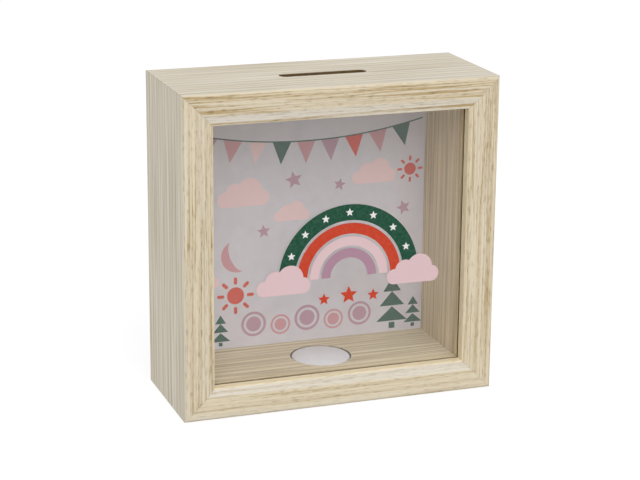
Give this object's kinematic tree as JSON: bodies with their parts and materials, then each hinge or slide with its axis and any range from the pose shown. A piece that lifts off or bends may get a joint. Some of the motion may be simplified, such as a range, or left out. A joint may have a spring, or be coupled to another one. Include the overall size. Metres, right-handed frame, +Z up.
{
  "type": "money box",
  "caption": "Square box frame with a clear front pane, wood-grain rails and lining, a printed back, a coin slot in the top and a push-in stopper in the floor.",
  "frame": {"origin": "middle of the box's footprint, on the surface it stands on", "axes": "+Z up through the coin slot, -Y out of the front pane, +X to the right seen from the front"},
  "size_m": [0.15, 0.06, 0.15],
  "materials": {
    "fibreboard": "raw cut fibreboard",
    "grain_foil": "satin foil printed with pale straight wood grain",
    "pane": "clear, polished",
    "print": "matt white printed paper",
    "steel": "bright pressed steel",
    "stopper": "moulded, satin"
  },
  "bodies": {
    "case": {"top_rail": "fibreboard", "bottom_rail": "fibreboard", "left_rail": "fibreboard", "right_rail": "fibreboard", "top_lining": "fibreboard", "bottom_lining": "fibreboard", "left_lining": "fibreboard", "right_lining": "fibreboard", "back_board": "fibreboard", "top_rail_foil": "grain_foil", "bottom_rail_foil": "grain_foil", "left_rail_foil": "grain_foil", "right_rail_foil": "grain_foil", "top_lining_foil": "grain_foil", "bottom_lining_foil": "grain_foil", "left_lining_foil": "grain_foil", "right_lining_foil": "grain_foil", "front_pane": "pane", "back_sheet": "print", "back_points": "steel", "corner_nails": "steel"},
    "stopper": {"stopper": "stopper"}
  },
  "joints": [
    {"name": "stopper_pull", "type": "slide", "parent": "case", "child": "stopper", "axis": [0, 0, -1], "range_m": [0, 0.03]}
  ]
}
